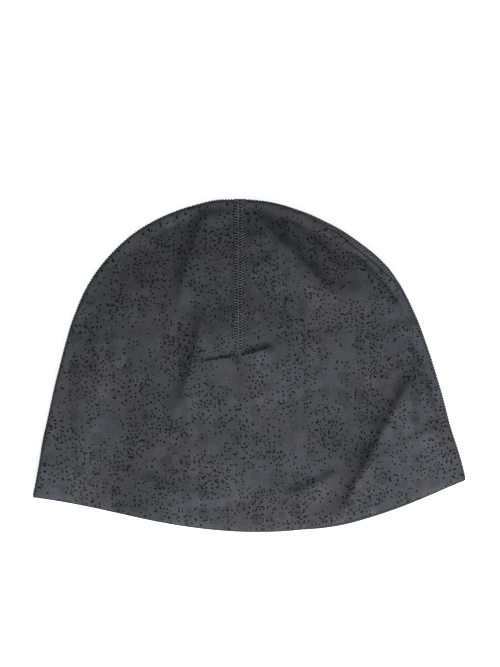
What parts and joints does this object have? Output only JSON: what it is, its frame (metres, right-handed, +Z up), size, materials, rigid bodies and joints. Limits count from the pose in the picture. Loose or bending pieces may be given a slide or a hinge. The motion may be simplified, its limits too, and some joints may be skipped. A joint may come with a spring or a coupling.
{
  "type": "running cap laid flat",
  "caption": "Thin stretch-jersey running cap lying flat on its back, with a crown seam over the folded edge, a dart seam down the middle and an open mouth with a curved hem.",
  "frame": {"origin": "middle of the bottom of the cap's box, on the surface that it lies on", "axes": "+Z up from that surface, +Y from the mouth towards the crown, +X to the right seen from above with the crown away from the viewer"},
  "size_m": [0.2396, 0.1862, 0.0272],
  "materials": {
    "printed_jersey": "matte charcoal stretch jersey with a scatter of small darker dots",
    "seam_thread": "matte grey flatlock stitching over the same jersey"
  },
  "bodies": {
    "root": {"front_panel": "printed_jersey", "back_panel": "printed_jersey", "crown_seam": "seam_thread", "front_dart_seam": "seam_thread", "back_dart_seam": "seam_thread"}
  },
  "joints": []
}
